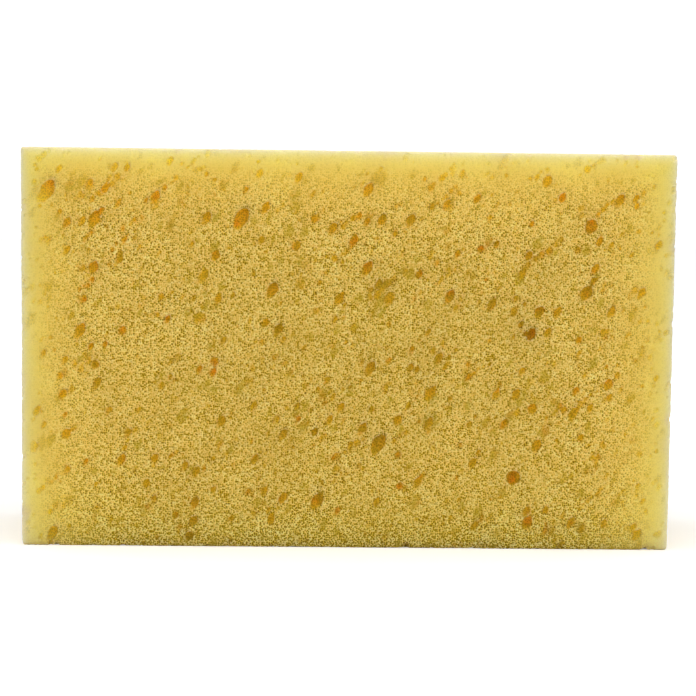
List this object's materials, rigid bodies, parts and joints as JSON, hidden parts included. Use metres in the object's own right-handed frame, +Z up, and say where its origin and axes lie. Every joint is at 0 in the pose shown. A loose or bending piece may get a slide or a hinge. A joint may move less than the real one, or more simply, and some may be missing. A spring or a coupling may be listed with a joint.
{
  "type": "foam sponge block",
  "caption": "Rectangular decorator's sponge block of open-cell foam with elongated pores, standing on a long narrow side.",
  "frame": {"origin": "middle of the underside, which is one of the two long narrow faces", "axes": "+Z up along the height, +X along the length, +Y along the thickness towards the back; the front broad face looks along -Y"},
  "size_m": [0.18, 0.05, 0.11],
  "materials": {
    "foam": "matte"
  },
  "bodies": {
    "root": {"sponge_block": "foam"}
  },
  "joints": []
}
